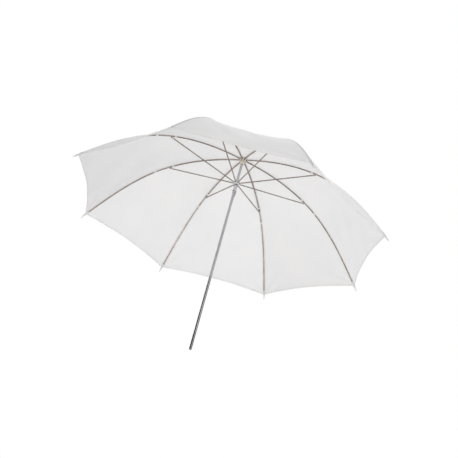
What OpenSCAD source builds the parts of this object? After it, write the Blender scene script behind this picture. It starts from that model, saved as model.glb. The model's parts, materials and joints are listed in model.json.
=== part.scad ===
// Shoot-through umbrella reflector: eight folding ribs on a plain shaft, with a
// sliding runner and a sprung catch. The origin is the middle of the shaft's
// lower end, +Z runs up the shaft to the crown, and the rest pose is fully open.

/* [Shaft] */
// Outside diameter of the shaft
shaft_d = 8; // [7:0.5:10]
// Wall thickness of the shaft tube
shaft_wall = 0.8; // [0.6:0.1:1]
// Height of the crown pivots above the shaft's lower end
crown_z = 625; // [600:5:700]
// Height of the shaft's top above the crown pivots
shaft_top = 16; // [14:1:20]

/* [Ribs] */
// Number of ribs
ribs = 8; // [8:1:8]
// Distance of the rib and stretcher pivots from the shaft's axis
pivot_r = 9; // [9:0.1:9.5]
// Length of the rib from its pivot to its joint
inner_l = 232; // [228:1:236]
// Length of the rib from its joint to the canopy's corner
outer_l = 306; // [300:1:312]
// Slope of the rib where it leaves the crown, negative is rising
slope_start = -0.8; // [-2:0.1:0]
// Radii of the rib's five bends from the crown to the corner, two before the joint
bend_r = [690, 520, 389, 653, 1875];
// Width of the rib's U section
rib_w = 3; // [2.8:0.1:3]
// Height of the rib's U section
rib_h = 2.2; // [2:0.1:2.2]
// Sheet thickness of the ribs and stretchers
rib_sheet = 0.5; // [0.4:0.05:0.5]
// How far the stretcher's rivet lies below the middle of the rib
rivet_drop = 4; // [4:0.1:4.5]

/* [Canopy] */
// Thickness of the canopy's collision shell
cloth_t = 0.8; // [0.6:0.1:1]
// Gap between the middle of the rib and the inside of the cloth
cloth_gap = 2; // [1.9:0.1:2.2]
// How far each gore sags between its ribs at the joints, as a share of their distance
cloth_sag = 0.045; // [0:0.005:0.06]
// The same at the rim, where the hem holds the cloth tighter
rim_sag = 0.022; // [0:0.002:0.06]
// How far the rim is cut back between two ribs
rim_scallop = 13; // [0:1:30]
// Length of the bare rib and its tip beyond the canopy's corner
tip_out = 18; // [16:1:20]

/* [Crown and runner] */
// Outside radius of the crown's slotted head
crown_r = 11; // [11:0.1:11.5]
// Outside radius of the runner's slotted head
runner_r = 10.6; // [10.6:0.1:11]
// Outside radius of the runner's sleeve
sleeve_r = 5.5; // [5.2:0.1:6]
// Length of the runner below its pivots
sleeve_l = 35; // [33:1:36]
// Width of the slots that hold the ribs and stretchers
slot_w = 3.5; // [3.4:0.05:3.5]
// Radius of the two ring wires
wire_r = 0.5; // [0.4:0.05:0.5]

/* [Catch] */
// Length of the catch above its pin
catch_l = 22; // [20:1:22]
// How far the catch stands out of the shaft
catch_out = 2.5; // [2:0.1:2.5]
// Thickness of the catch
catch_t = 1.4; // [1.2:0.1:1.4]

/* [Hidden] */
$fn = 64;
eps = 0.01;

shaft_r = shaft_d / 2;
bore_r = shaft_r - shaft_wall;
rib_step = 360 / ribs;
first_rib = rib_step / 2;
to_deg = 180 / PI;

// Arc lengths along the rib, measured from the crown pivot
joint_s = inner_l;
corner_s = inner_l + outer_l;

// Where the rib's five bends begin and end: tightest at the joint, nearly straight at the tip
bend_s = [
    0,
    joint_s / 2,
    joint_s,
    joint_s + outer_l / 3,
    joint_s + outer_l * 2 / 3,
    corner_s
];
function bend_slope(i) =
    i == 0 ? slope_start : bend_slope(i - 1) + (bend_s[i] - bend_s[i - 1]) / bend_r[i - 1] * to_deg;
slopes = [for (i = [0:5]) bend_slope(i)];
slope_joint = slopes[2];
function bend_arm(i, slope) = bend_r[i] * [sin(slope), cos(slope)];
function bend_p(i) =
    i == 0
        ? [pivot_r, 0]
        : bend_p(i - 1) + bend_arm(i - 1, slopes[i]) - bend_arm(i - 1, slopes[i - 1]);
starts = [for (i = [0:4]) bend_p(i)];

// Key points in a rib's own plane: x is the distance from the shaft, y the height
joint = starts[2];
rivet = joint - rivet_drop * [sin(slope_joint), cos(slope_joint)];
runner_pivot = [pivot_r, 2 * rivet[1]];
stretcher_l = norm(rivet - runner_pivot);
stretcher_rise = atan2(rivet[1] - runner_pivot[1], rivet[0] - runner_pivot[0]);
runner_z = crown_z + runner_pivot[1];

// Running clearances and small hardware
slide_gap = 0.04;
fixed_gap = 0.03;
wire_groove = 0.1;
eye_r = 1.8;
eye_half = 1.2;
eye_hole = wire_r + 0.12;
eye_tang = 8;
channel_start = 3;
rivet_r = 0.8;
rivet_hole = 0.88;
ear_in = rib_w / 2 + 0.1;
ear_out = ear_in + 0.6;
inner_end = 4;
outer_start = 1.8;
bare_end = 9;
slot_floor = 5.9;

// Catch places, worked out from the runner's lower end
catch_top = runner_z - sleeve_l - 0.5;
catch_z = catch_top - catch_l;
catch_x = 2.6;
catch_pin_r = 0.5;
groove_z = catch_z - 6;
groove_h = 1.5;
groove_depth = 0.2;

// Grid of each half gore
inner_rows = 8;
outer_rows = 10;
cloth_columns = 4;
cloth_first = 15.5 - pivot_r;
joint_gap = 0.3;
seam_gap = 0.25;

// The bend that arc length s lies on
function bend_on(s) = len([for (i = [1:4]) if (s > bend_s[i]) i]);

// Slope of the rib at arc length s
function slope_at(s) =
    let (i = bend_on(s))
    slopes[i] + (s - bend_s[i]) / bend_r[i] * to_deg;

// Middle of the rib at arc length s, in the rib's plane
function rib_at(s) =
    let (i = bend_on(s))
    starts[i] + bend_arm(i, slope_at(s)) - bend_arm(i, slopes[i]);

// Share of the ribs' distance that a gore sags at arc length s
function sag_at(s) = cloth_sag + (rim_sag - cloth_sag) * max(0, s - joint_s) / outer_l;

// The gore's middle surface: v is 0 on the rib and 1 halfway to the next one
function gore_at(s, v) =
    let (
        p = rib_at(s),
        b = slope_at(s),
        turn = rib_step / 2 * v,
        fall = sag_at(s) * 2 * p[0] * sin(rib_step / 2) * v * (2 - v)
    )
    [
        p[0] * (1 - v / 2 + v / 2 * cos(rib_step)) - fall * sin(b) * cos(turn),
        p[0] * v / 2 * sin(rib_step) - fall * sin(b) * sin(turn),
        p[1] - fall * cos(b)
    ];

// Outward direction of the gore's surface
function gore_out(s, v) =
    let (
        along = gore_at(s + 0.5, v) - gore_at(s - 0.5, v),
        across = gore_at(s, v + 0.01) - gore_at(s, v - 0.01),
        n = cross(along, across)
    )
    n / norm(n);

// Where the rim lies at v
function rim_at(v) = corner_s - rim_scallop * v * (2 - v);

// v with a small gap kept at the rib and at the middle of the gore
function clear_v(s, share) =
    let (
        x = rib_at(s)[0],
        low = seam_gap / (x * sin(rib_step) / 2),
        high = 1 - seam_gap / (x * sin(rib_step / 2))
    )
    low + (high - low) * share;

// One layer of the half gore's points, the given height above the rib's middle
function gore_layer(from, to, rows, height) = [
    for (i = [0:rows], j = [0:cloth_columns])
        let (
            v = j / cloth_columns,
            end = to > joint_s + 1 ? rim_at(v) : to,
            s = from + (end - from) * i / rows,
            w = clear_v(s, v)
        )
        gore_at(s, w) + height * gore_out(s, w)
];

// A closed half gore between two arc lengths of the rib
module half_gore(from, to, rows) {
    n = cloth_columns + 1;
    top = (rows + 1) * n;
    points = concat(
        gore_layer(from, to, rows, cloth_gap),
        gore_layer(from, to, rows, cloth_gap + cloth_t)
    );
    cells = [for (i = [0:rows - 1], j = [0:cloth_columns - 1]) i * n + j];
    // Edge pairs, anticlockwise round the outside
    loop = concat(
        [for (i = [0:rows - 1]) [i * n, (i + 1) * n]],
        [for (j = [0:cloth_columns - 1]) [rows * n + j, rows * n + j + 1]],
        [for (i = [rows:-1:1]) [i * n + cloth_columns, (i - 1) * n + cloth_columns]],
        [for (j = [cloth_columns:-1:1]) [j, j - 1]]
    );
    faces = concat(
        [for (c = cells) [top + c, top + c + n + 1, top + c + n]],
        [for (c = cells) [top + c, top + c + 1, top + c + n + 1]],
        [for (c = cells) [c, c + n, c + n + 1]],
        [for (c = cells) [c, c + n + 1, c + 1]],
        [for (e = loop) [e[0], top + e[1], e[1]]],
        [for (e = loop) [e[0], top + e[0], top + e[1]]]
    );
    polyhedron(points = points, faces = faces);
}

// Places its children in rib k's plane, with the crown pivot's height as zero
module in_rib_plane(k) {
    rotate([0, 0, first_rib + rib_step * (k - 1)])
        translate([0, 0, crown_z])
            children();
}

// Places its children at a point of the rib's plane, sloping down outwards
module at_point(p, slope) {
    translate([p[0], 0, p[1]])
        rotate([0, slope, 0])
            children();
}

// A flat outline in the rib's plane, thickened evenly to both sides
module plate(half) {
    rotate([90, 0, 0])
        linear_extrude(height = 2 * half, center = true)
            children();
}

// Two equal plates, one each side of the rib's plane
module ears(from, to) {
    for (side = [-1, 1])
        translate([0, side * (from + to) / 2, 0])
            plate((to - from) / 2)
                children();
}

// The folded sheet section: open on the side that faces away from the web
module u_section(at) {
    half = rib_w / 2;
    inside = half - rib_sheet;
    translate([at, 0])
        polygon([
            [-rib_h / 2, -half],
            [rib_h / 2, -half],
            [rib_h / 2, half],
            [-rib_h / 2, half],
            [-rib_h / 2, inside],
            [rib_h / 2 - rib_sheet, inside],
            [rib_h / 2 - rib_sheet, -inside],
            [-rib_h / 2, -inside]
        ]);
}

// A stretch of rib on bend i, between two slopes measured from the bend's first one
module bent_rib(i, from, to) {
    at_point(starts[i], slopes[i])
        translate([0, 0, -bend_r[i]])
            rotate([90, 0, 0])
                rotate([0, 0, 90 - to])
                    rotate_extrude(angle = to - from, $fn = 360)
                        u_section(bend_r[i]);
}

// Core inside the web that keeps two bends one piece where bend i begins
module bend_core(i) {
    at_point(starts[i], slopes[i])
        translate([-1, 0.1 - rib_w / 2, rib_h / 2 - rib_sheet + 0.1])
            cube([2, rib_w - 0.2, rib_sheet - 0.2]);
}

// Flattened eye with a tang that runs along +X into the channel
module eye(hole) {
    difference() {
        union() {
            plate(eye_half)
                circle(r = eye_r);
            translate([0, -eye_half, -rib_h / 2 + 0.2])
                cube([eye_tang, 2 * eye_half, rib_h - 0.4]);
        }
        rotate([90, 0, 0])
            cylinder(r = hole, h = 4 * eye_half, center = true);
    }
}

// Rivet across the rib's plane
module cross_rivet(r, half) {
    rotate([90, 0, 0])
        cylinder(r = r, h = 2 * half, center = true);
}

// Crimped bracket that carries both rivets at the rib's joint
module joint_bracket() {
    at_point(joint, slope_joint) {
        ears(ear_in, ear_out) {
            translate([-9, -1.3])
                square([9, 2.3]);
            circle(r = 1.1);
            translate([-1.9, -rivet_drop])
                square([3.8, rivet_drop]);
            translate([0, -rivet_drop])
                circle(r = 1.9);
        }
        ears(rib_w / 2 - 0.2, ear_in + eps)
            translate([-9, -1.1])
                square([9 - inner_end - 0.2, 2.2]);
        cross_rivet(rivet_r, ear_out);
        translate([0, 0, -rivet_drop])
            cross_rivet(rivet_r, ear_out);
    }
}

module rib_inner(k) {
    color("dimgray")
        in_rib_plane(k) {
            bent_rib(0, slope_at(channel_start) - slopes[0], slopes[1] - slopes[0]);
            bent_rib(1, 0, slope_at(joint_s - inner_end) - slopes[1]);
            bend_core(1);
            at_point([pivot_r, 0], slope_start)
                eye(eye_hole);
            joint_bracket();
        }
}

module rib_outer(k) {
    color("dimgray")
        in_rib_plane(k)
            difference() {
                union() {
                    bent_rib(2, -outer_start / bend_r[2] * to_deg, slopes[3] - slopes[2]);
                    bent_rib(3, 0, slopes[4] - slopes[3]);
                    bent_rib(4, 0, slope_at(corner_s + bare_end) - slopes[4]);
                    bend_core(3);
                    bend_core(4);
                }
                at_point(joint, slope_joint)
                    cross_rivet(rivet_hole, rib_w);
            }
}

module stretcher(k) {
    color("dimgray")
        in_rib_plane(k)
            at_point(runner_pivot, -stretcher_rise) {
                translate([channel_start, 0, 0])
                    rotate([90, 0, 90])
                        linear_extrude(height = stretcher_l - 2 * channel_start)
                            rotate([0, 0, 90])
                                u_section(0);
                eye(eye_hole);
                translate([stretcher_l, 0, 0])
                    rotate([0, 180, 0])
                        eye(rivet_hole);
            }
}

// Moulded tip: a socket over the rib's end and a short rounded nose
module rib_tip(k) {
    socket = bare_end + 1.2;
    start = corner_s + 1;
    color("ivory")
        in_rib_plane(k)
            at_point(rib_at(start), slope_at(start + socket / 2))
                rotate([0, 90, 0])
                    difference() {
                        union() {
                            cylinder(r = 2.3, h = socket);
                            translate([0, 0, socket])
                                cylinder(r1 = 2.3, r2 = 1.4, h = 2);
                            translate([0, 0, socket])
                                cylinder(r = 1.4, h = tip_out - socket - 2.5);
                            translate([0, 0, tip_out - 2.6])
                                sphere(r = 1.6);
                        }
                        translate([0, 0, -eps])
                            cylinder(r = 1.98, h = socket - 1);
                    }
}

module canopy_inner(k) {
    color("whitesmoke")
        in_rib_plane(k)
            for (side = [0, 1])
                mirror([0, side, 0])
                    half_gore(cloth_first, joint_s - joint_gap, inner_rows);
}

module canopy_outer(k) {
    color("whitesmoke")
        in_rib_plane(k)
            for (side = [0, 1])
                mirror([0, side, 0])
                    half_gore(joint_s + joint_gap, corner_s, outer_rows);
}

// Tube with the catch's window, the pin holes and a fine groove below the catch
module shaft() {
    color("silver")
        difference() {
            cylinder(r = shaft_r, h = crown_z + shaft_top);
            translate([0, 0, -eps])
                cylinder(r = bore_r, h = crown_z + shaft_top + 1);
            translate([0, -catch_t / 2 - 0.2, catch_z - 1.5])
                cube([shaft_r + 1, catch_t + 0.4, catch_l + 2.5]);
            translate([catch_x, 0, catch_z])
                cross_rivet(catch_pin_r + fixed_gap, shaft_r + 1);
            translate([0, 0, crown_z - 12])
                cross_rivet(rivet_r + fixed_gap, shaft_r + 1);
            translate([0, 0, groove_z])
                difference() {
                    cylinder(r = shaft_r + 1, h = groove_h);
                    translate([0, 0, -1])
                        cylinder(r = shaft_r - groove_depth, h = groove_h + 2);
                }
        }
}

// Moulded plug that closes the lower end of the tube
module shaft_plug() {
    color("dimgray")
        difference() {
            cylinder(r = bore_r - fixed_gap, h = 12);
            translate([0, 0, 2])
                cylinder(r = bore_r - 1, h = 11);
        }
}

// Ring of slots for the ribs' or stretchers' eyes
module slots(low, high, depth_r) {
    for (k = [1:ribs])
        rotate([0, 0, first_rib + rib_step * (k - 1)])
            translate([depth_r, -slot_w / 2, low])
                cube([crown_r, slot_w, high - low]);
}

// Ring groove for a wire
module wire_ring(r) {
    rotate_extrude()
        translate([pivot_r, 0])
            circle(r = r);
}

module crown() {
    color("blanchedalmond")
        translate([0, 0, crown_z])
            difference() {
                union() {
                    translate([0, 0, -6])
                        cylinder(r = crown_r, h = 9.2);
                    translate([0, 0, -7])
                        cylinder(r1 = crown_r - 1, r2 = crown_r, h = 1);
                    translate([0, 0, -16])
                        cylinder(r = 6.5, h = 10);
                }
                translate([0, 0, -17])
                    cylinder(r = shaft_r + fixed_gap, h = 24);
                slots(-8, 2.2, slot_floor);
                wire_ring(wire_r + wire_groove);
                translate([0, 0, -12])
                    cross_rivet(rivet_r + fixed_gap, 8);
            }
}

module crown_wire() {
    color("silver")
        translate([0, 0, crown_z])
            wire_ring(wire_r);
}

module crown_pin() {
    color("silver")
        translate([0, 0, crown_z - 12])
            cross_rivet(rivet_r, 6.4);
}

// Round reinforcing patch where the gores meet
module canopy_patch() {
    color("whitesmoke")
        translate([0, 0, crown_z + 3.4])
            difference() {
                cylinder(r = 15, h = 0.8);
                translate([0, 0, -1])
                    cylinder(r = shaft_r + 0.1, h = 3);
            }
}

// Disc that clamps the patch down on the crown
module canopy_washer() {
    color("ivory")
        translate([0, 0, crown_z + 4.4])
            difference() {
                union() {
                    cylinder(r = 12, h = 0.8);
                    translate([0, 0, 0.8])
                        cylinder(r1 = 12, r2 = 10.8, h = 0.8);
                }
                translate([0, 0, -1])
                    cylinder(r = shaft_r + fixed_gap, h = 4);
            }
}

// Domed cap pressed over the top of the shaft
module cap() {
    color("ivory")
        translate([0, 0, crown_z + 6.1])
            difference() {
                union() {
                    cylinder(r = 7.5, h = 2);
                    translate([0, 0, 2])
                        cylinder(r1 = 6.6, r2 = 5.6, h = 9);
                    translate([0, 0, 10.4])
                        intersection() {
                            sphere(r = 5.6);
                            cylinder(r = 6, h = 6);
                        }
                }
                translate([0, 0, -1])
                    cylinder(r = shaft_r + fixed_gap, h = shaft_top - 6.1 + 1.2);
            }
}

// Slotted head on a long sleeve, with a funnel mouth that rides over the catch
module runner() {
    color("silver")
        translate([0, 0, runner_z])
            difference() {
                union() {
                    translate([0, 0, -3.6])
                        cylinder(r = runner_r, h = 6.8);
                    translate([0, 0, -5.6])
                        cylinder(r1 = sleeve_r + 1.5, r2 = runner_r, h = 2);
                    translate([0, 0, -sleeve_l + 2])
                        cylinder(r = sleeve_r, h = sleeve_l - 4);
                    translate([0, 0, -sleeve_l])
                        cylinder(r = sleeve_r + 0.9, h = 2);
                    translate([0, 0, -14])
                        cylinder(r = sleeve_r + 0.7, h = 1.6);
                }
                translate([0, 0, -sleeve_l - 1])
                    cylinder(r = shaft_r + slide_gap, h = sleeve_l + 10);
                translate([0, 0, -9.5])
                    cylinder(r1 = shaft_r + slide_gap, r2 = shaft_r + 1.55, h = 12.71);
                slots(-2.2, 5, slot_floor);
                wire_ring(wire_r + wire_groove);
            }
}

module runner_wire() {
    color("silver")
        translate([0, 0, runner_z])
            wire_ring(wire_r);
}

// Sprung wedge that stands out of the shaft under the runner
module catch() {
    color("silver")
        translate([0, 0, catch_z])
            difference() {
                union() {
                    plate(catch_t / 2)
                        polygon([
                            [catch_x - 1, -0.2],
                            [catch_x + 1.3, -0.2],
                            [shaft_r - 0.1, 1],
                            [shaft_r + catch_out, catch_l - 0.8],
                            [shaft_r + catch_out, catch_l],
                            [catch_x - 0.8, catch_l],
                            [catch_x - 1.2, 2]
                        ]);
                    translate([catch_x, 0, 0])
                        cross_rivet(1.1, catch_t / 2);
                }
                translate([catch_x, 0, 0])
                    cross_rivet(catch_pin_r + slide_gap, catch_t);
            }
}

module catch_pin() {
    color("dimgray")
        translate([catch_x, 0, catch_z])
            cross_rivet(catch_pin_r, 2.9);
}

shaft();
shaft_plug();
crown();
crown_wire();
crown_pin();
canopy_patch();
canopy_washer();
cap();
runner();
runner_wire();
catch();
catch_pin();
for (k = [1:ribs]) {
    rib_inner(k);
    rib_outer(k);
    stretcher(k);
    rib_tip(k);
    canopy_inner(k);
    canopy_outer(k);
}
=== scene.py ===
import json
import math

import bpy
import numpy as np
from mathutils import Matrix, Vector


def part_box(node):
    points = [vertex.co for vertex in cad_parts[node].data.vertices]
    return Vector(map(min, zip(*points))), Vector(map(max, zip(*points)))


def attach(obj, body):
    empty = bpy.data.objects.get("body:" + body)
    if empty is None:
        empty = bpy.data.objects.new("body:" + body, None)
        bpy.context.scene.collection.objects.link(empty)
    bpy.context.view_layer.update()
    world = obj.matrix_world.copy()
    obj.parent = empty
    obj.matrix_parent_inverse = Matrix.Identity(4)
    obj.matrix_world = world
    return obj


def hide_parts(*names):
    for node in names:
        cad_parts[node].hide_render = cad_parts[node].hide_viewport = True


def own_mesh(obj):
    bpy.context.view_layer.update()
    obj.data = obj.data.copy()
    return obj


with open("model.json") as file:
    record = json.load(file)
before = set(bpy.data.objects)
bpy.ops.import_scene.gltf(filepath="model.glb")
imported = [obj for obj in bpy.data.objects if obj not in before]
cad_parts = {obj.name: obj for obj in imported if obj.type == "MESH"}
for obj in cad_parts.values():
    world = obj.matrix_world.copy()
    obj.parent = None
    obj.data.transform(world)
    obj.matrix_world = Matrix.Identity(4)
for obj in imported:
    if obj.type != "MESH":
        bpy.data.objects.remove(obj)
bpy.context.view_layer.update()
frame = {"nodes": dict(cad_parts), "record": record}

print("umbrella: frame loaded,", len(frame["nodes"]), "nodes")

# Places that come from the joints, in metres
jointFacts = {j["name"]: j for j in frame["record"]["behaviour"]["joints"]}
crownPivot = Vector(jointFacts["fold"]["pos_m"])
ribJoint = Vector(jointFacts["rib_1_flex"]["pos_m"])
stretcherRivet = Vector(jointFacts["stretcher_1_swing"]["pos_m"])
crownHeight = crownPivot.z
pivotRadius = math.hypot(crownPivot.x, crownPivot.y)
ribCount = 8
ribStep = 2 * math.pi / ribCount
firstRib = math.atan2(crownPivot.y, crownPivot.x)

# The rib's five bends: tightest just past the joint and nearly straight at the tip.
# ends are lengths along the rib, and the slope is in degrees below the horizontal
ribShape = {
    "ends": (0.0, 0.116, 0.232, 0.334, 0.436, 0.538),
    "radii": (0.690, 0.520, 0.389, 0.653, 1.875),
    "startSlope": -0.8,
}
bendEnds = np.array(ribShape["ends"])
bendRadii = np.array(ribShape["radii"])
bendTurns = np.concatenate([[0], np.diff(bendEnds) / bendRadii])
bendSlopes = math.radians(ribShape["startSlope"]) + bendTurns.cumsum()
bendSteps = np.stack([np.diff(np.sin(bendSlopes)), np.diff(np.cos(bendSlopes))], axis=1) * bendRadii[:, None]
bendStarts = np.concatenate([[[pivotRadius, crownHeight]], bendSteps]).cumsum(axis=0)
jointLength, cornerLength = ribShape["ends"][2], ribShape["ends"][5]


def ribBody(rib, outer):
    return f"rib_end_{rib}" if outer else f"rib_{rib}"


def ribAzimuth(rib):
    return firstRib + ribStep * (rib - 1)


# Distance from the shaft, height and slope of the rib's middle, s metres from the crown pivot
def ribCurve(s):
    s = np.asarray(s, float)
    bend = np.clip(np.searchsorted(bendEnds, s) - 1, 0, len(bendRadii) - 1)
    slope = bendSlopes[bend] + (s - bendEnds[bend]) / bendRadii[bend]
    x = bendStarts[bend, 0] + bendRadii[bend] * (np.sin(slope) - np.sin(bendSlopes[bend]))
    z = bendStarts[bend, 1] + bendRadii[bend] * (np.cos(slope) - np.cos(bendSlopes[bend]))
    return x, z, slope


# A point beside rib k: across and up are metres from the rib's middle line
def besideRib(rib, s, across=0.0, up=0.0):
    x, z, slope = ribCurve(s)
    a = ribAzimuth(rib)
    out = x + up * np.sin(slope)
    return np.stack(
        np.broadcast_arrays(
            out * math.cos(a) - across * math.sin(a),
            out * math.sin(a) + across * math.cos(a),
            z + up * np.cos(slope),
        ),
        axis=-1,
    )


def makeObject(name, points, faces, normals=None, uv=None):
    mesh = bpy.data.meshes.new(name)
    mesh.from_pydata([tuple(map(float, p)) for p in points], [], [tuple(map(int, f)) for f in faces])
    mesh.polygons.foreach_set("use_smooth", [True] * len(mesh.polygons))
    if uv is not None:
        layer = mesh.uv_layers.new(name="lengthMap")
        corner = np.zeros(len(mesh.loops), int)
        mesh.loops.foreach_get("vertex_index", corner)
        layer.data.foreach_set("uv", np.asarray(uv, float)[corner].ravel())
    mesh.update()
    if normals is not None:
        mesh.normals_split_custom_set_from_vertices([tuple(map(float, n)) for n in normals])
    made = bpy.data.objects.new(name, mesh)
    bpy.context.scene.collection.objects.link(made)
    return made


# Faces of a grid of points, n rows of m; wrap joins the last column to the first, caps closes the ends
def gridFaces(n, m, wrap=False, caps=False, first=0):
    faces = []
    columns = m if wrap else m - 1
    for i in range(n - 1):
        for j in range(columns):
            k = (j + 1) % m
            here, above = first + i * m, first + (i + 1) * m
            faces.append((here + j, above + j, above + k, here + k))
    if caps:
        faces.append(tuple(first + j for j in range(m)))
        faces.append(tuple(first + (n - 1) * m + j for j in reversed(range(m))))
    return faces


# Faces of a ring-shaped grid whose last row joins its first, which makes a hollow wall
def closedFaces(n, m):
    faces = gridFaces(n, m, wrap=True)
    last = (n - 1) * m
    faces += [(last + j, j, (j + 1) % m, last + (j + 1) % m) for j in range(m)]
    return faces


# Several grids in one mesh
def joinGrids(grids, wrap=True, caps=True):
    points, faces = [], []
    for grid in grids:
        n, m = grid.shape[:2]
        faces += gridFaces(n, m, wrap, caps, len(points))
        points += list(grid.reshape(-1, 3))
    return points, faces


# A round tube along a line, with rings square to it
def tubeGrid(line, radius, sides=8):
    line = np.asarray(line, float)
    along = np.gradient(line, axis=0)
    along /= np.linalg.norm(along, axis=1)[:, None]
    side = np.cross(along[0], [0.31, 0.17, 0.93])
    rings = []
    for p, d in zip(line, along):
        side = side - d * (side @ d)
        side /= np.linalg.norm(side)
        other = np.cross(d, side)
        turns = np.arange(sides) * 2 * math.pi / sides
        rings.append(p + radius * (np.outer(np.cos(turns), side) + np.outer(np.sin(turns), other)))
    return np.stack(rings)


# A turned shape: profile is (radius, distance along) pairs, set on an axis
def turnedGrid(profile, origin, axis, sides=24):
    axis = Vector(axis).normalized()
    turn = axis.to_track_quat("Z", "Y").to_matrix()
    angles = np.arange(sides) * 2 * math.pi / sides
    rings = []
    for r, h in profile:
        ring = np.stack([r * np.cos(angles), r * np.sin(angles), np.full(sides, h)], axis=1)
        rings.append(ring @ np.array(turn).T + np.array(origin))
    return np.stack(rings)


# Gives a piece its material and its body
def fit(piece, material, body):
    piece.data.materials.append(material)
    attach(piece, body)
    return piece


def findNode(nodes, kind):
    return next(n for n in nodes if n.type == kind)


def newMaterial(name):
    material = bpy.data.materials.new(name)
    material.use_nodes = True
    nodes = material.node_tree.nodes
    shader = findNode(nodes, "BSDF_PRINCIPLED")
    return material, nodes, material.node_tree.links, shader


def addNode(nodes, kind, **settings):
    node = nodes.new(kind)
    for key, value in settings.items():
        if key in node.inputs:
            node.inputs[key].default_value = value
        else:
            setattr(node, key, value)
    return node


# Roughness that follows a value between two limits
def addRoughness(nodes, links, shader, value, limits):
    rough = addNode(nodes, "ShaderNodeMapRange")
    rough.inputs["To Min"].default_value, rough.inputs["To Max"].default_value = limits
    links.new(value, rough.inputs["Value"])
    links.new(rough.outputs["Result"], shader.inputs["Roughness"])


def addRamp(nodes, stops):
    ramp = nodes.new("ShaderNodeValToRGB")
    for i, (place, colour) in enumerate(stops):
        if i > 1:
            ramp.color_ramp.elements.new(place)
        element = ramp.color_ramp.elements[i]
        element.position = place
        element.color = (*colour, 1)
    return ramp


def objectNoise(nodes, links, scale, detail=3.0, stretch=(1, 1, 1)):
    place = nodes.new("ShaderNodeTexCoord")
    mapping = nodes.new("ShaderNodeMapping")
    mapping.inputs["Scale"].default_value = stretch
    noise = addNode(nodes, "ShaderNodeTexNoise", Scale=scale, Detail=detail)
    links.new(place.outputs["Object"], mapping.inputs["Vector"])
    links.new(mapping.outputs["Vector"], noise.inputs["Vector"])
    return noise


def addBump(nodes, links, shader, height, strength, distance):
    bump = addNode(nodes, "ShaderNodeBump", Strength=strength, Distance=distance)
    links.new(height, bump.inputs["Height"])
    links.new(bump.outputs["Normal"], shader.inputs["Normal"])
    return bump


clothLook = {
    "light": (0.93, 0.925, 0.925),
    "shade": (0.885, 0.885, 0.9),
    "stitch": (0.86, 0.86, 0.86),
    "glow": (0.96, 0.95, 0.94),  # colour of the light that comes through
    "glowShare": 0.45,           # share of the light that goes through one layer
    "seamGlowShare": 0.62,
    "edgeGlowShare": 0.8,
    "pocketGlowShare": 0.15,
    "cloudScale": 9.0,
    "threadPitch": 0.0006,
    "weaveDepth": 0.00004,
    "weaveStrength": 0.35,
    "stitchHeight": 4.0,         # in weave heights
    "roughness": 0.62,
    "sheen": 0.15,
    "specular": 0.3,
}


# Woven nylon: warp and weft as two crossed waves on the sheet's own lengths
def clothMaterial(name, glowShare, stitched=False):
    look = clothLook
    material, nodes, links, shader = newMaterial(name)
    patchy = objectNoise(nodes, links, look["cloudScale"], 4.0)
    ramp = addRamp(nodes, [(0.3, look["shade"]), (0.7, look["light"])])
    links.new(patchy.outputs["Fac"], ramp.inputs["Fac"])
    lengths = addNode(nodes, "ShaderNodeUVMap", uv_map="lengthMap")
    waves = []
    waveScale = 0.314159 / look["threadPitch"]  # a wave of scale 1 repeats every tenth of pi
    for direction in ("X", "Y"):
        wave = addNode(nodes, "ShaderNodeTexWave", Scale=waveScale)
        wave.bands_direction = direction
        links.new(lengths.outputs["UV"], wave.inputs["Vector"])
        waves.append(wave)
    weave = addNode(nodes, "ShaderNodeMath", operation="MULTIPLY")
    links.new(waves[0].outputs["Fac"], weave.inputs[0])
    links.new(waves[1].outputs["Fac"], weave.inputs[1])
    height = weave.outputs["Value"]
    colour = ramp.outputs["Color"]
    if stitched:
        stitch = stitchMask(nodes, links, lengths)
        raised = addNode(nodes, "ShaderNodeMath", operation="MULTIPLY_ADD")
        raised.inputs[1].default_value = look["stitchHeight"]
        links.new(stitch, raised.inputs[0])
        links.new(height, raised.inputs[2])
        height = raised.outputs["Value"]
        shadeStitch = addNode(nodes, "ShaderNodeMix", data_type="RGBA")
        shadeStitch.inputs["B"].default_value = (*look["stitch"], 1)
        links.new(stitch, shadeStitch.inputs["Factor"])
        links.new(colour, shadeStitch.inputs["A"])
        colour = shadeStitch.outputs["Result"]
    links.new(colour, shader.inputs["Base Color"])
    shader.inputs["Roughness"].default_value = look["roughness"]
    shader.inputs["Sheen Weight"].default_value = look["sheen"]
    shader.inputs["Specular IOR Level"].default_value = look["specular"]
    bump = addBump(nodes, links, shader, height, look["weaveStrength"], look["weaveDepth"])
    through = addNode(nodes, "ShaderNodeBsdfTranslucent", Color=(*look["glow"], 1))
    links.new(bump.outputs["Normal"], through.inputs["Normal"])
    both = addNode(nodes, "ShaderNodeMixShader", Fac=glowShare)
    output = findNode(nodes, "OUTPUT_MATERIAL")
    links.new(shader.outputs["BSDF"], both.inputs[1])
    links.new(through.outputs["BSDF"], both.inputs[2])
    links.new(both.outputs["Shader"], output.inputs["Surface"])
    return material


# Stitches in two rows, each a row's distance from the middle; dashShare is of the pitch
stitching = {"pitch": 0.0028, "dashShare": 0.72, "row": 0.0034, "halfThread": 0.00028}


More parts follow.
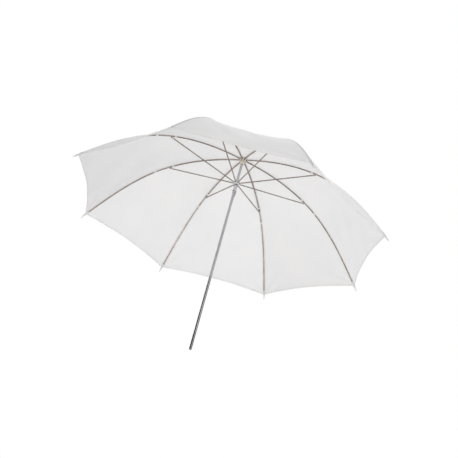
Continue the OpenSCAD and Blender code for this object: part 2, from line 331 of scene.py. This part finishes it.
# 1 on the stitches and 0 between them
def stitchMask(nodes, links, lengths):
    split = nodes.new("ShaderNodeSeparateXYZ")
    links.new(lengths.outputs["UV"], split.inputs["Vector"])

    def maths(operation, a, b=None):
        node = addNode(nodes, "ShaderNodeMath", operation=operation)
        for socket, value in zip(node.inputs, (a, b)):
            if isinstance(value, float):
                socket.default_value = value
            elif value is not None:
                links.new(value, socket)
        return node.outputs["Value"]

    along = maths("FRACT", maths("DIVIDE", split.outputs["X"], stitching["pitch"]))
    onDash = maths("LESS_THAN", along, stitching["dashShare"])
    offRow = maths("ABSOLUTE", maths("SUBTRACT", maths("ABSOLUTE", split.outputs["Y"]), stitching["row"]))
    return maths("MULTIPLY", onDash, maths("LESS_THAN", offRow, stitching["halfThread"]))


# grain is how fine the brushing is, and stretch draws it out along an axis
metalLooks = {
    "ribMetal": {
        "dark": (0.34, 0.29, 0.26), "light": (0.54, 0.47, 0.42),
        "rough": (0.12, 0.24), "stretch": (1, 1, 1), "grain": 160.0, "bump": 0.12,
    },
    # a paler copy of ribMetal for the outer ribs: painted light, not a different lacquer
    "ribEndMetalPaintedLight": {
        "dark": (0.42, 0.36, 0.32), "light": (0.68, 0.6, 0.53),
        "rough": (0.12, 0.24), "stretch": (1, 1, 1), "grain": 160.0, "bump": 0.12,
    },
    "shaftMetal": {
        "dark": (0.42, 0.43, 0.46), "light": (0.6, 0.61, 0.63),
        "rough": (0.07, 0.16), "stretch": (1, 1, 0.03), "grain": 420.0, "bump": 0.05,
    },
    "runnerMetal": {
        "dark": (0.5, 0.5, 0.52), "light": (0.74, 0.74, 0.75),
        "rough": (0.14, 0.3), "stretch": (1, 1, 0.2), "grain": 260.0, "bump": 0.06,
    },
    "wireMetal": {
        "dark": (0.45, 0.45, 0.45), "light": (0.68, 0.68, 0.67),
        "rough": (0.2, 0.35), "stretch": (1, 1, 1), "grain": 500.0, "bump": 0.05,
    },
}


metalGrain = {"tarnish": 35.0, "ramp": (0.36, 0.64), "depth": 0.0001}


# Brushed metal whose tone is half brushing and half broader tarnish
def metalMaterial(name):
    look = metalLooks[name]
    darkAt, lightAt = metalGrain["ramp"]
    material, nodes, links, shader = newMaterial(name)
    grain = objectNoise(nodes, links, look["grain"], 4.0, look["stretch"])
    tarnish = objectNoise(nodes, links, metalGrain["tarnish"], 2.0)
    mixed = addNode(nodes, "ShaderNodeMath", operation="MULTIPLY_ADD")
    mixed.inputs[1].default_value = 0.5
    half = addNode(nodes, "ShaderNodeMath", operation="MULTIPLY")
    half.inputs[1].default_value = 0.5
    links.new(tarnish.outputs["Fac"], half.inputs[0])
    links.new(grain.outputs["Fac"], mixed.inputs[0])
    links.new(half.outputs["Value"], mixed.inputs[2])
    ramp = addRamp(nodes, [(darkAt, look["dark"]), (lightAt, look["light"])])
    links.new(mixed.outputs["Value"], ramp.inputs["Fac"])
    links.new(ramp.outputs["Color"], shader.inputs["Base Color"])
    addRoughness(nodes, links, shader, grain.outputs["Fac"], look["rough"])
    shader.inputs["Metallic"].default_value = 1.0
    addBump(nodes, links, shader, grain.outputs["Fac"], look["bump"], metalGrain["depth"])
    return material


plasticLooks = {
    "creamPlastic": {
        "dark": (0.72, 0.64, 0.52), "light": (0.83, 0.77, 0.67),
        "rough": (0.34, 0.5), "through": 0.08,
    },
    "tipPlastic": {
        "dark": (0.88, 0.86, 0.81), "light": (0.95, 0.93, 0.9),
        "rough": (0.25, 0.4), "through": 0.05,
    },
    "plugPlastic": {
        "dark": (0.07, 0.07, 0.075), "light": (0.13, 0.13, 0.135),
        "rough": (0.45, 0.6), "through": 0.0,
    },
}


plasticGrain = {"cloud": 120.0, "fine": 1800.0, "throughDepth": 0.002, "bump": 0.08, "depth": 0.00005}


# Moulded plastic, faintly cloudy, with a fine texture from the mould
def plasticMaterial(name):
    look = plasticLooks[name]
    material, nodes, links, shader = newMaterial(name)
    cloud = objectNoise(nodes, links, plasticGrain["cloud"], 3.0)
    ramp = addRamp(nodes, [(0.35, look["dark"]), (0.65, look["light"])])
    links.new(cloud.outputs["Fac"], ramp.inputs["Fac"])
    links.new(ramp.outputs["Color"], shader.inputs["Base Color"])
    grain = objectNoise(nodes, links, plasticGrain["fine"], 2.0)
    addRoughness(nodes, links, shader, grain.outputs["Fac"], look["rough"])
    shader.inputs["Subsurface Weight"].default_value = look["through"]
    shader.inputs["Subsurface Scale"].default_value = plasticGrain["throughDepth"]
    addBump(nodes, links, shader, grain.outputs["Fac"], plasticGrain["bump"], plasticGrain["depth"])
    return material


threadLook = {
    "dark": (0.84, 0.83, 0.81),
    "light": (0.95, 0.945, 0.93),
    "fuzz": 2500.0,
    "roughness": 0.8,
    "sheen": 0.2,
    "bump": 0.4,
    "depth": 0.00005,
}


# Sewing thread, matt and slightly fuzzy
def threadMaterial():
    look = threadLook
    material, nodes, links, shader = newMaterial("sewingThread")
    fuzz = objectNoise(nodes, links, look["fuzz"], 2.0)
    ramp = addRamp(nodes, [(0.3, look["dark"]), (0.7, look["light"])])
    links.new(fuzz.outputs["Fac"], ramp.inputs["Fac"])
    links.new(ramp.outputs["Color"], shader.inputs["Base Color"])
    shader.inputs["Roughness"].default_value = look["roughness"]
    shader.inputs["Sheen Weight"].default_value = look["sheen"]
    addBump(nodes, links, shader, fuzz.outputs["Fac"], look["bump"], look["depth"])
    return material


cloth = clothMaterial("whiteNylon", clothLook["glowShare"])
seamCloth = clothMaterial("stitchedNylon", clothLook["seamGlowShare"], stitched=True)
edgeCloth = clothMaterial("hemNylon", clothLook["edgeGlowShare"], stitched=True)
pocketCloth = clothMaterial("pocketNylon", clothLook["pocketGlowShare"], stitched=True)
metals = {name: metalMaterial(name) for name in metalLooks}
plastics = {name: plasticMaterial(name) for name in plasticLooks}
thread = threadMaterial()
print("umbrella: materials made")

cameraView = {
    "place": (0.0584, -2.1468, -0.6936),
    "target": (0.0148, 0.0003, 0.3847),
    "roll": -15.46,
    "lens": 64.46,
}


# Looks up into the open canopy from the handle's side
def makeCamera():
    view = cameraView
    data = bpy.data.cameras.new("camera")
    data.lens = view["lens"]
    data.sensor_width = 36
    data.clip_start, data.clip_end = 0.05, 60
    camera = bpy.data.objects.new("camera", data)
    bpy.context.scene.collection.objects.link(camera)
    look = Vector(view["target"]) - Vector(view["place"])
    turn = look.to_track_quat("-Z", "Y").to_matrix().to_4x4()
    roll = Matrix.Rotation(-math.radians(view["roll"]), 4, "Z")
    camera.matrix_world = Matrix.Translation(view["place"]) @ turn @ roll
    bpy.context.scene.camera = camera


# low is the strength of the light near the horizon and high that of the light from above.
# Each span is where a change begins and ends, in the coordinates of a direction one metre long
studio = {
    "floorHeight": -2.6,
    "floorSize": 80.0,
    "floorColour": (0.93, 0.93, 0.935),
    "floorShade": 0.98,
    "floorGlow": 0.27,
    "floorRoughness": 0.85,
    "background": 1.0,
    "lowFront": 0.03,
    "lowBack": 0.4,
    "lowSpan": (-0.1, 0.5),
    "highLeft": 1.02,
    "highRight": 0.8,
    "highSpan": (-0.9, 0.9),
    "riseSpan": (0.3, 0.65),
    "lampSize": 1.4,
    "lampAim": 0.15,  # below the crown
}


def makeFloor():
    half = studio["floorSize"] / 2
    z = studio["floorHeight"]
    corners = [(-half, -half, z), (half, -half, z), (half, half, z), (-half, half, z)]
    floor = makeObject("studioFloor", corners, [(0, 1, 2, 3)])
    material, nodes, links, shader = newMaterial("floorPaint")
    cloud = objectNoise(nodes, links, 3.0, 3.0)
    base = studio["floorColour"]
    ramp = addRamp(nodes, [(0.3, tuple(c * studio["floorShade"] for c in base)), (0.7, base)])
    links.new(cloud.outputs["Fac"], ramp.inputs["Fac"])
    links.new(ramp.outputs["Color"], shader.inputs["Base Color"])
    shader.inputs["Roughness"].default_value = studio["floorRoughness"]
    shader.inputs["Emission Color"].default_value = (1, 1, 1, 1)
    shader.inputs["Emission Strength"].default_value = studio["floorGlow"]
    floor.data.materials.append(material)


# White to the eye; as light it is bright above, and darker near the horizon, most of all in front
def makeWorld():
    world = bpy.data.worlds.new("studioLight")
    bpy.context.scene.world = world
    world.use_nodes = True
    nodes, links = world.node_tree.nodes, world.node_tree.links
    nodes.clear()
    seen = addNode(nodes, "ShaderNodeBackground", Strength=studio["background"])
    seen.inputs["Color"].default_value = (1, 1, 1, 1)
    light = nodes.new("ShaderNodeBackground")
    place = nodes.new("ShaderNodeTexCoord")
    split = nodes.new("ShaderNodeSeparateXYZ")
    links.new(place.outputs["Generated"], split.inputs["Vector"])

    # follows a value: over its span the result runs between two limits
    def slide(value, span, limits):
        node = addNode(nodes, "ShaderNodeMapRange")
        node.inputs["From Min"].default_value, node.inputs["From Max"].default_value = span
        node.inputs["To Min"].default_value, node.inputs["To Max"].default_value = limits
        links.new(value, node.inputs["Value"])
        return node.outputs["Result"]

    blend = addNode(nodes, "ShaderNodeMix", data_type="FLOAT")
    low = slide(split.outputs["Y"], studio["lowSpan"], (studio["lowFront"], studio["lowBack"]))
    high = slide(split.outputs["X"], studio["highSpan"], (studio["highLeft"], studio["highRight"]))
    links.new(slide(split.outputs["Z"], studio["riseSpan"], (0.0, 1.0)), blend.inputs["Factor"])
    links.new(low, blend.inputs["A"])
    links.new(high, blend.inputs["B"])
    links.new(blend.outputs["Result"], light.inputs["Strength"])
    rays = nodes.new("ShaderNodeLightPath")
    choose = nodes.new("ShaderNodeMixShader")
    output = nodes.new("ShaderNodeOutputWorld")
    links.new(rays.outputs["Is Camera Ray"], choose.inputs["Fac"])
    links.new(light.outputs["Background"], choose.inputs[1])
    links.new(seen.outputs["Background"], choose.inputs[2])
    links.new(choose.outputs["Shader"], output.inputs["Surface"])


lamps = {
    "topSoftbox": {"place": (0.3, 0.9, 2.5), "power": 11.1, "colour": (1.0, 0.99, 0.985)},
    "rightSoftbox": {"place": (1.6, 0.3, 2.0), "power": 6.6, "colour": (1.0, 0.98, 0.975)},
    "frontSoftbox": {"place": (1.5, -2.0, 1.3), "power": 7.5, "colour": (1.0, 0.985, 0.985)},
    "backSoftbox": {"place": (-1.5, 1.8, 0.6), "power": 11.7, "colour": (1.0, 0.99, 1.0)},
}


def makeLamps():
    middle = Vector((0, 0, crownHeight - studio["lampAim"]))
    for name, lamp in lamps.items():
        data = bpy.data.lights.new(name, "AREA")
        data.shape = "DISK"
        data.size, data.energy, data.color = studio["lampSize"], lamp["power"], lamp["colour"]
        made = bpy.data.objects.new(name, data)
        bpy.context.scene.collection.objects.link(made)
        place = Vector(lamp["place"])
        turn = (middle - place).to_track_quat("-Z", "Y").to_matrix().to_4x4()
        made.matrix_world = Matrix.Translation(place) @ turn


makeCamera()
makeFloor()
makeWorld()
makeLamps()
bpy.context.scene.view_settings.view_transform = "Standard"
bpy.context.scene.view_settings.look = "None"
print("umbrella: camera, floor and lights set")

canopy = {
    "lift": 0.0023,          # of the cloth above the rib's middle
    "sag": 0.045,            # of a gore at the joints, as a share of the distance between its ribs
    "rimSag": 0.022,         # the same at the rim
    "scallop": 0.013,        # how far the rim is cut back between ribs
    "innerStart": 0.0045,    # along the rib, clear of the crown
    "innerRows": 30,
    "innerColumns": 14,
    "outerRows": 44,
    "outerColumns": 24,
    "sway": 0.0012,          # of the broad unevenness of a gore
    "swayWidth": 0.12,       # half width of the gore from which it is full
    "swayLengths": ((0.17, 0.21), (0.11, -0.16), (-0.13, 0.09)),  # of its waves, across and along
    "slant": 0.012,          # mean change of a panel's length by its slanting end
    "seamAllowance": 0.03,
    "folded": 0.18,          # share of its width that a panel keeps when folded
    "foldAside": 0.0055,     # how far beside its rib an inner panel gathers
}


# Fine folds that fan out of a gore's corners and joints: how high they are, how far they reach and how many.
# They begin clear of the point itself and of the rib
fans = {
    "corner": {"height": 0.0013, "reach": 0.085, "folds": 9.0},
    "joint": {"height": 0.0007, "reach": 0.05, "folds": 7.0},
    "clearOfPoint": 0.02,
    "clearOfRib": 0.012,
}


# distance is from the rib, and along is from the point along the rib
def foldFan(fan, distance, along, phase):
    far = np.hypot(distance, along)
    angle = np.arctan2(along, distance)
    start = np.clip(far / fans["clearOfPoint"], 0, 1) * np.clip(distance / fans["clearOfRib"], 0, 1)
    return fan["height"] * (np.sin(fan["folds"] * angle + phase) * np.exp(-far / fan["reach"]) * start)


# Half the distance between two ribs, s metres from the crown pivot
def halfGore(s):
    return ribCurve(s)[0] * math.sin(ribStep / 2)


# Small unevenness of gore g, from 0 at both ribs; u runs from -1 to 1 across the gore
def unevenness(g, s, u):
    halfWidth = halfGore(s)
    across = halfWidth * u
    inside = 1 - u * u
    phases = np.random.default_rng(40 + g).uniform(0, 2 * math.pi, 12)
    height = np.zeros(np.broadcast(s, u).shape)
    for n, side in enumerate((-1, 1)):
        distance = halfWidth * (1 - side * u)
        height += foldFan(fans["corner"], distance, cornerLength - s, phases[n])
        height += foldFan(fans["joint"], distance, np.abs(s - jointLength), phases[2 + n])
    for n, (acrossLength, alongLength) in enumerate(canopy["swayLengths"]):
        turn = 2 * math.pi * (across / acrossLength + s / alongLength)
        wave = canopy["sway"] / (1 + n) * np.sin(turn + phases[4 + n])
        height += wave * inside * np.clip(halfWidth / canopy["swayWidth"], 0, 1)
    return height


# The cloth of gore g, between rib g and the next one
def goreSurface(g, s, u, above=0.0):
    s, u = np.broadcast_arrays(np.asarray(s, float), np.asarray(u, float))
    x, z, slope = ribCurve(s)
    a = ribAzimuth(g)
    share = (u + 1) / 2
    turn = a + ribStep * share
    raised = canopy["lift"] + above - sagShare(s) * 2 * x * math.sin(ribStep / 2) * (1 - u * u)
    raised = raised + unevenness(g, s, u)
    outward = raised * np.sin(slope)
    flatX = x * ((1 - share) * math.cos(a) + share * math.cos(a + ribStep))
    flatY = x * ((1 - share) * math.sin(a) + share * math.sin(a + ribStep))
    return np.stack(
        [flatX + outward * np.cos(turn), flatY + outward * np.sin(turn), z + raised * np.cos(slope)],
        axis=-1,
    )


# Square to the cloth of gore g, from four points close by
def goreNormal(g, s, u):
    ds, du = 0.0004, 0.002
    along = goreSurface(g, s + ds, u) - goreSurface(g, s - ds, u)
    across = goreSurface(g, s, u + du) - goreSurface(g, s, u - du)
    n = np.cross(along, across)
    return n / np.linalg.norm(n, axis=-1, keepdims=True)


# How deep a gore sags, as a share of the distance between its ribs
def sagShare(s):
    share = np.clip((s - jointLength) / (cornerLength - jointLength), 0, 1)
    return canopy["sag"] + (canopy["rimSag"] - canopy["sag"]) * share


def rimLength(u):
    return cornerLength - canopy["scallop"] * (1 - u * u)


# Where the inner and outer panels part: the line square to the rib at its joint,
# so that they stay together when folded
def partingLength(u):
    fromRib = 1 - np.abs(u)
    s = np.linspace(jointLength - 0.002, jointLength + 0.09, 200)
    x, z = ribCurve(s)[:2]
    jointX, jointZ, jointSlope = (float(value) for value in ribCurve(jointLength))
    shares = np.linspace(0, 1, 25)
    found = []
    for share in shares:
        radial = x * (1 - share / 2 * (1 - math.cos(ribStep)))
        ahead = (radial - jointX) * math.cos(jointSlope) - (z - jointZ) * math.sin(jointSlope)
        found.append(np.interp(0.0, ahead, s))
    return np.interp(fromRib, shares, found)


# A rib's two neighbouring gores: side 1 is the gore that follows it, side -1 the one before
def goreBeside(rib, side):
    return rib if side > 0 else (rib - 2) % ribCount + 1


# The half of a gore, in u, that the rib on its side 1 or -1 carries
def panelSpan(side):
    return (-1.0, 0.0) if side > 0 else (0.0, 1.0)


# The direction that a panel crumples along, square to a line near its rib
def crumpleAxis(rib, side, outer):
    g = goreBeside(rib, side)
    joint = besideRib(rib, jointLength)
    far = besideRib(rib, cornerLength if outer else canopy["innerStart"])
    chord = (far - joint) if outer else (joint - far)
    chord /= np.linalg.norm(chord)
    tangent = besideRib(rib, jointLength + 0.001) - besideRib(rib, jointLength - 0.001)
    tangent /= np.linalg.norm(tangent)
    line = chord + tangent
    line /= np.linalg.norm(line)
    middle = goreSurface(g, partingLength(np.array(0.0)), np.array(0.0))
    across = middle - joint
    across -= line * (across @ line)
    return across / np.linalg.norm(across)


def panelName(rib, side, outer):
    return f"canopy_{'outer' if outer else 'inner'}_{rib}_{'left' if side > 0 else 'right'}"


# Works out the line that a panel would crumple towards, for an inner panel just beside its rib, under the
# seam's tape, which would close the folded canopy nearer to the crown, and gives the piece its own mesh;
# nothing here squashes it
def squashPanel(piece, rib, side, outer):
    aside = 0.0 if outer else side * canopy["foldAside"]
    tuple(crumpleAxis(rib, side, outer))
    tuple(besideRib(rib, jointLength, aside, canopy["lift"]))
    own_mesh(piece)


def makePanel(rib, side, outer):
    g = goreBeside(rib, side)
    rows = canopy["outerRows" if outer else "innerRows"]
    columns = canopy["outerColumns" if outer else "innerColumns"]
    u = np.linspace(*panelSpan(side), columns + 1)[None, :]
    share = np.linspace(0, 1, rows + 1)[:, None]
    parting = partingLength(u)
    low, high = (parting, rimLength(u)) if outer else (canopy["innerStart"], parting)
    s = low + (high - low) * share
    u = np.broadcast_to(u, s.shape)
    points = goreSurface(g, s, u)
    normals = goreNormal(g, s, u)
    uv = np.stack([s, halfGore(s) * u], axis=-1)
    faces = gridFaces(rows + 1, columns + 1)
    name = panelName(rib, side, outer)
    panel = makeObject(name, points.reshape(-1, 3), faces, normals.reshape(-1, 3), uv.reshape(-1, 2))
    fit(panel, cloth, ribBody(rib, outer))
    # the cut panel laid flat: a strip whose width grows from end to end, with one slanting end
    midU = np.array(0.0)
    start = float(partingLength(midU)) if outer else canopy["innerStart"]
    end = float(rimLength(midU)) if outer else float(partingLength(midU))
    widths = [float(halfGore(at)) for at in (start, end)]
    slant = canopy["slant"] if outer else -canopy["slant"]
    area = (widths[0] + widths[1]) / 2 * (end - start + slant)
    return panel, (max(widths), end - start + canopy["seamAllowance"]), area


# Folded hem: the cloth turned under along the rim. stitchShift puts its stitches 3 mm from the edge
hem = {"width": 0.005, "under": 0.0006, "over": 0.0001, "columns": 24, "stitchShift": 0.0004}


def makeHem(rib, side):
    g = goreBeside(rib, side)
    u = np.linspace(*panelSpan(side), hem["columns"] + 1)
    width, under, over = hem["width"], hem["under"], hem["over"]
    profile = [(0.0, over), (-0.0003, 0.0), (-0.0001, -under)]
    profile += [(0.001, -under), (width * 0.5, -under), (width, -under * 0.6)]
    rim = rimLength(u)
    grid = np.stack([goreSurface(g, rim - inward, u, height) for inward, height in profile], axis=1)
    points, faces = joinGrids([grid], wrap=False, caps=False)
    half = halfGore(rim)
    uv = [(half[i] * u[i], inward + hem["stitchShift"]) for i in range(len(u)) for inward, height in profile]
    piece = makeObject(f"hem_{rib}_{'left' if side > 0 else 'right'}", points, faces, None, uv)
    return fit(piece, edgeCloth, f"rib_end_{rib}")


# Felled seam under the cloth along a rib, with a fine ridge above it
seam = {"half": 0.0044, "thick": 0.0003, "ridge": 0.0009, "ridgeHeight": 0.0004, "sunk": 0.00005, "step": 0.006}


# Points on the cloth, across metres to one side of a rib
def seamPoints(rib, s, across, height):
    x = ribCurve(s)[0]
    fromRib = 2 * abs(across) / (x * math.sin(ribStep))
    side = 1 if across >= 0 else -1
    u = -1 + fromRib if side > 0 else 1 - fromRib
    return goreSurface(goreBeside(rib, side), s, u, height)


def makeSeam(rib, outer):
    start = jointLength if outer else canopy["innerStart"] + 0.004
    end = cornerLength - 0.001 if outer else jointLength
    s = np.linspace(start, end, int((end - start) / seam["step"]) + 1)
    half, thick, edge = seam["half"], seam["thick"], -seam["sunk"]
    flat = [(half * share, -thick) for share in (-0.95, -0.5, 0.0, 0.5, 0.95)]
    tape = [(-half, edge), *flat, (half, edge)]
    wide, tall = seam["ridge"], seam["ridgeHeight"]
    ridge = [(-wide, edge), (-wide * 0.6, tall * 0.75), (0.0, tall), (wide * 0.6, tall * 0.75), (wide, edge)]
    grids, uv = [], []
    for outline in (tape, ridge):
        grids.append(np.stack([seamPoints(rib, s, across, height) for across, height in outline], axis=1))
        uv += [(length, across) for length in s for across, height in outline]
    points, faces = joinGrids(grids, wrap=False, caps=False)
    piece = makeObject(f"seam_{'outer' if outer else 'inner'}_{rib}", points, faces, None, uv)
    return fit(piece, seamCloth, ribBody(rib, outer))


def makeCanopy():
    for rib in range(1, ribCount + 1):
        for outer in (False, True):
            panels = []
            strip = makeSeam(rib, outer)
            for side in (1, -1):
                panel, flat, area = makePanel(rib, side, outer)
                trims = [strip] if side > 0 else []
                if outer:
                    edge = makeHem(rib, side)
                    squashPanel(edge, rib, side, outer)
                    trims.append(edge)
                squashPanel(panel, rib, side, outer)
                panels.append(panel)
            for panel in panels:
                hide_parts(f"canopy_{'outer' if outer else 'inner'}_{rib}")


makeCanopy()
print("umbrella: canopy made")

# Pinked at its edge, which droops beyond the crown
patch = {
    "radius": 0.0165,
    "hole": 0.0041,
    "teeth": 40,
    "toothDepth": 0.0008,
    "droopFrom": 0.0125,
    "edgeDrop": 0.0009,
    "thick": 0.0005,
    "lift": 0.0001,
    "ripple": 0.00012,
    "rings": 12,
}


def makePatch():
    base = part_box("canopy_patch")[0][2] + patch["lift"]
    sides = patch["teeth"] * 2
    angles = np.arange(sides) * 2 * math.pi / sides
    rings = []
    shares = np.linspace(0, 1, patch["rings"])
    for layer, ordered in ((0.0, shares), (patch["thick"], shares[::-1])):
        for share in ordered:
            r = patch["hole"] + (patch["radius"] - patch["hole"]) * share
            pinked = r - patch["toothDepth"] * (np.arange(sides) % 2) * (share > 0.99)
            wave = patch["ripple"] * np.sin(8 * angles + 1) * share
            beyond = max(0.0, (r - patch["droopFrom"]) / (patch["radius"] - patch["droopFrom"]))
            height = base + layer - patch["edgeDrop"] * beyond ** 1.5 + wave
            rings.append(np.stack([pinked * np.cos(angles), pinked * np.sin(angles), height], axis=1))
    points = np.stack(rings).reshape(-1, 3)
    uv = points[:, :2] + np.array([0.0, 0.02])
    piece = makeObject("canopy_patch_cloth", points, closedFaces(len(rings), sides), None, uv)
    fit(piece, cloth, "root")
    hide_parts("canopy_patch")


makePatch()
print("umbrella: patch made")

rivets = {"radius": 0.0014, "height": 0.0006, "ear": 0.0022, "sunk": 0.00005}


# Domed heads on both ends of both rivets
def makeRivets(rib):
    drop = (ribJoint - stretcherRivet).length
    tall = rivets["height"]
    profile = [(0.0, tall), (0.5, 0.93 * tall), (0.85, 0.62 * tall), (1.0, 0.2 * tall), (1.0, -0.0001)]
    a = ribAzimuth(rib)
    sideways = Vector((-math.sin(a), math.cos(a), 0))
    grids = []
    for up in (0.0, -drop):
        for side in (-1, 1):
            centre = besideRib(rib, jointLength, side * (rivets["ear"] - rivets["sunk"]), up)
            turned = [(max(r, 0.02) * rivets["radius"], h) for r, h in profile]
            grids.append(turnedGrid(turned, centre, sideways * side, 20))
    points, faces = joinGrids(grids)
    piece = makeObject(f"rivet_heads_{rib}", points, faces)
    fit(piece, metals["wireMetal"], f"rib_{rib}")


# places are lengths along the rib; across, low and high bound the loops round rib and seam
ties = {
    "thread": 0.00034,
    "turns": 11,
    "pitch": 0.00064,
    "across": 0.0021,
    "low": -0.0015,
    "high": 0.0021,
    "knot": 0.0009,
    "tail": 0.0035,
    "tailShare": 0.8,  # its thickness as a share of the thread's
    "unevenness": 0.0001,
    "places": {"outer": 0.276, "inner": 0.2165},
}


# Thread wound round the rib and through the seam, with a small knot and two short tails
def tieGrids(rib, place, seed):
    draw = np.random.default_rng(seed)
    count = ties["turns"] * 20
    turn = np.linspace(0, 2 * math.pi * ties["turns"], count)
    drift = ties["unevenness"] * np.sin(turn * 1.7 + draw.uniform(0, 6))
    along = place + turn / (2 * math.pi) * ties["pitch"] + drift
    halfWide, low, high = ties["across"], ties["low"], ties["high"]
    middle, halfHigh = (low + high) / 2, (high - low) / 2
    squareness = (np.abs(np.cos(turn)) ** 4 + np.abs(np.sin(turn)) ** 4) ** -0.25
    across = halfWide * squareness * np.cos(turn)
    up = middle + halfHigh * squareness * np.sin(turn)
    line = np.concatenate([besideRib(rib, s, c, h)[None] for s, c, h in zip(along, across, up)])
    grids = [tubeGrid(line, ties["thread"], 6)]
    knotAt = place + ties["turns"] * ties["pitch"] / 2
    knot = [(0.02, -0.0008), (0.7, -0.0006), (1.0, 0.0), (0.75, 0.0006), (0.02, 0.0008)]
    centre = besideRib(rib, knotAt, halfWide + 0.0004, 0.0002)
    grids.append(turnedGrid([(a * ties["knot"], h) for a, h in knot], centre, (0.3, 0.2, 1), 10))
    for side in (-1, 1):
        tail = []
        for w in np.linspace(0, 1, 8):
            s = knotAt + side * ties["tail"] * w
            tail.append(besideRib(rib, s, halfWide + 0.0005 + 0.001 * w * w, 0.0002 - 0.0016 * w * w))
        grids.append(tubeGrid(np.array(tail), ties["thread"] * ties["tailShare"], 6))
    return grids


def makeTies(rib):
    for part, place in ties["places"].items():
        points, faces = joinGrids(tieGrids(rib, place, 100 * rib))
        piece = makeObject(f"thread_ties_{part}_{rib}", points, faces)
        fit(piece, thread, ribBody(rib, part == "outer"))


# start is the length along the rib; wide and tall are half sizes
pocket = {
    "start": cornerLength - 0.014,
    "length": 0.0185,
    "wide": 0.0042,
    "tall": 0.0031,
    "up": 0.0002,
    "wall": 0.0004,
    "taper": 0.3,
    "wobble": 0.06,
    "crease": 0.04,
    "stations": 12,
    "sides": 20,
}


# Small sewn cup that holds the canopy's corner on the rib
def makePocket(rib):
    rows = pocket["stations"]
    stations = np.linspace(0, 1, rows)
    sides = pocket["sides"]
    angles = np.arange(sides) * 2 * math.pi / sides
    rings = []
    for wall, ordered in ((0, stations), (pocket["wall"], stations[::-1])):
        for w in ordered:
            s = pocket["start"] + pocket["length"] * w
            taper = 1 - pocket["taper"] * w + pocket["wobble"] * math.sin(w * 9 + rib)
            wide = pocket["wide"] * taper - wall
            tall = pocket["tall"] * taper - wall
            ring = []
            for a in angles:
                crease = 1 + pocket["crease"] * math.sin(3 * a + 5 * w + rib)
                up = pocket["up"] + tall * math.sin(a) * crease
                ring.append(besideRib(rib, s, wide * math.cos(a) * crease, up))
            rings.append(np.stack(ring))
    n = len(rings)
    uv = []
    for i in range(n):
        along = pocket["length"] * (i if i < rows else n - 1 - i) / (rows - 1)
        uv += [(along, 0.012 * (j / sides - 0.5)) for j in range(sides)]
    points = np.stack(rings).reshape(-1, 3)
    piece = makeObject(f"corner_pocket_{rib}", points, closedFaces(n, sides), None, uv)
    fit(piece, pocketCloth, f"rib_end_{rib}")


# heights are below the top of the runner's head
bands = {"sleeve": 0.0055, "radius": 0.0006, "heights": (-0.0114, -0.033), "tall": 0.0016, "round": 0.0002}


# Two dark grip rings on the runner's sleeve
def makeBands():
    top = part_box("runner")[1][2]
    sleeve, soft = bands["sleeve"], bands["round"]
    half = bands["tall"] / 2
    outside = sleeve + bands["radius"]
    lower = [(sleeve - soft, -half), (outside - soft, -half), (outside, -half * 0.6)]
    profile = lower + [(across, -height) for across, height in reversed(lower)]
    grids = [turnedGrid(profile, (0, 0, top + height), (0, 0, 1), 40) for height in bands["heights"]]
    points, faces = joinGrids(grids)
    piece = makeObject("runner_bands", points, faces)
    fit(piece, plastics["plugPlastic"], "runner")


makeBands()
for rib in range(1, ribCount + 1):
    makeRivets(rib)
    makeTies(rib)
    makePocket(rib)
print("umbrella: rivets, ties and pockets made")

slotMaterials = {
    "shaft_steel": metals["shaftMetal"],
    "runner_metal": metals["runnerMetal"],
    "rib_metal": metals["ribMetal"],
    "wire": metals["wireMetal"],
    "cream_plastic": plastics["creamPlastic"],
    "tip_plastic": plastics["tipPlastic"],
    "plug_plastic": plastics["plugPlastic"],
    "white_cloth": cloth,
    "thread": thread,
}


# The outer ribs get a paler copy of the rib metal: painted light, for the extra light that they catch
def finishNodes():
    slots = {entry["node"]: entry["material_slot"] for entry in frame["record"]["subparts"]}
    for name, nodeObject in frame["nodes"].items():
        material = metals["ribEndMetalPaintedLight"] if name.startswith("rib_outer") else slotMaterials[slots[name]]
        for place in nodeObject.material_slots:
            place.material = material


finishNodes()
print("umbrella: finishes set")
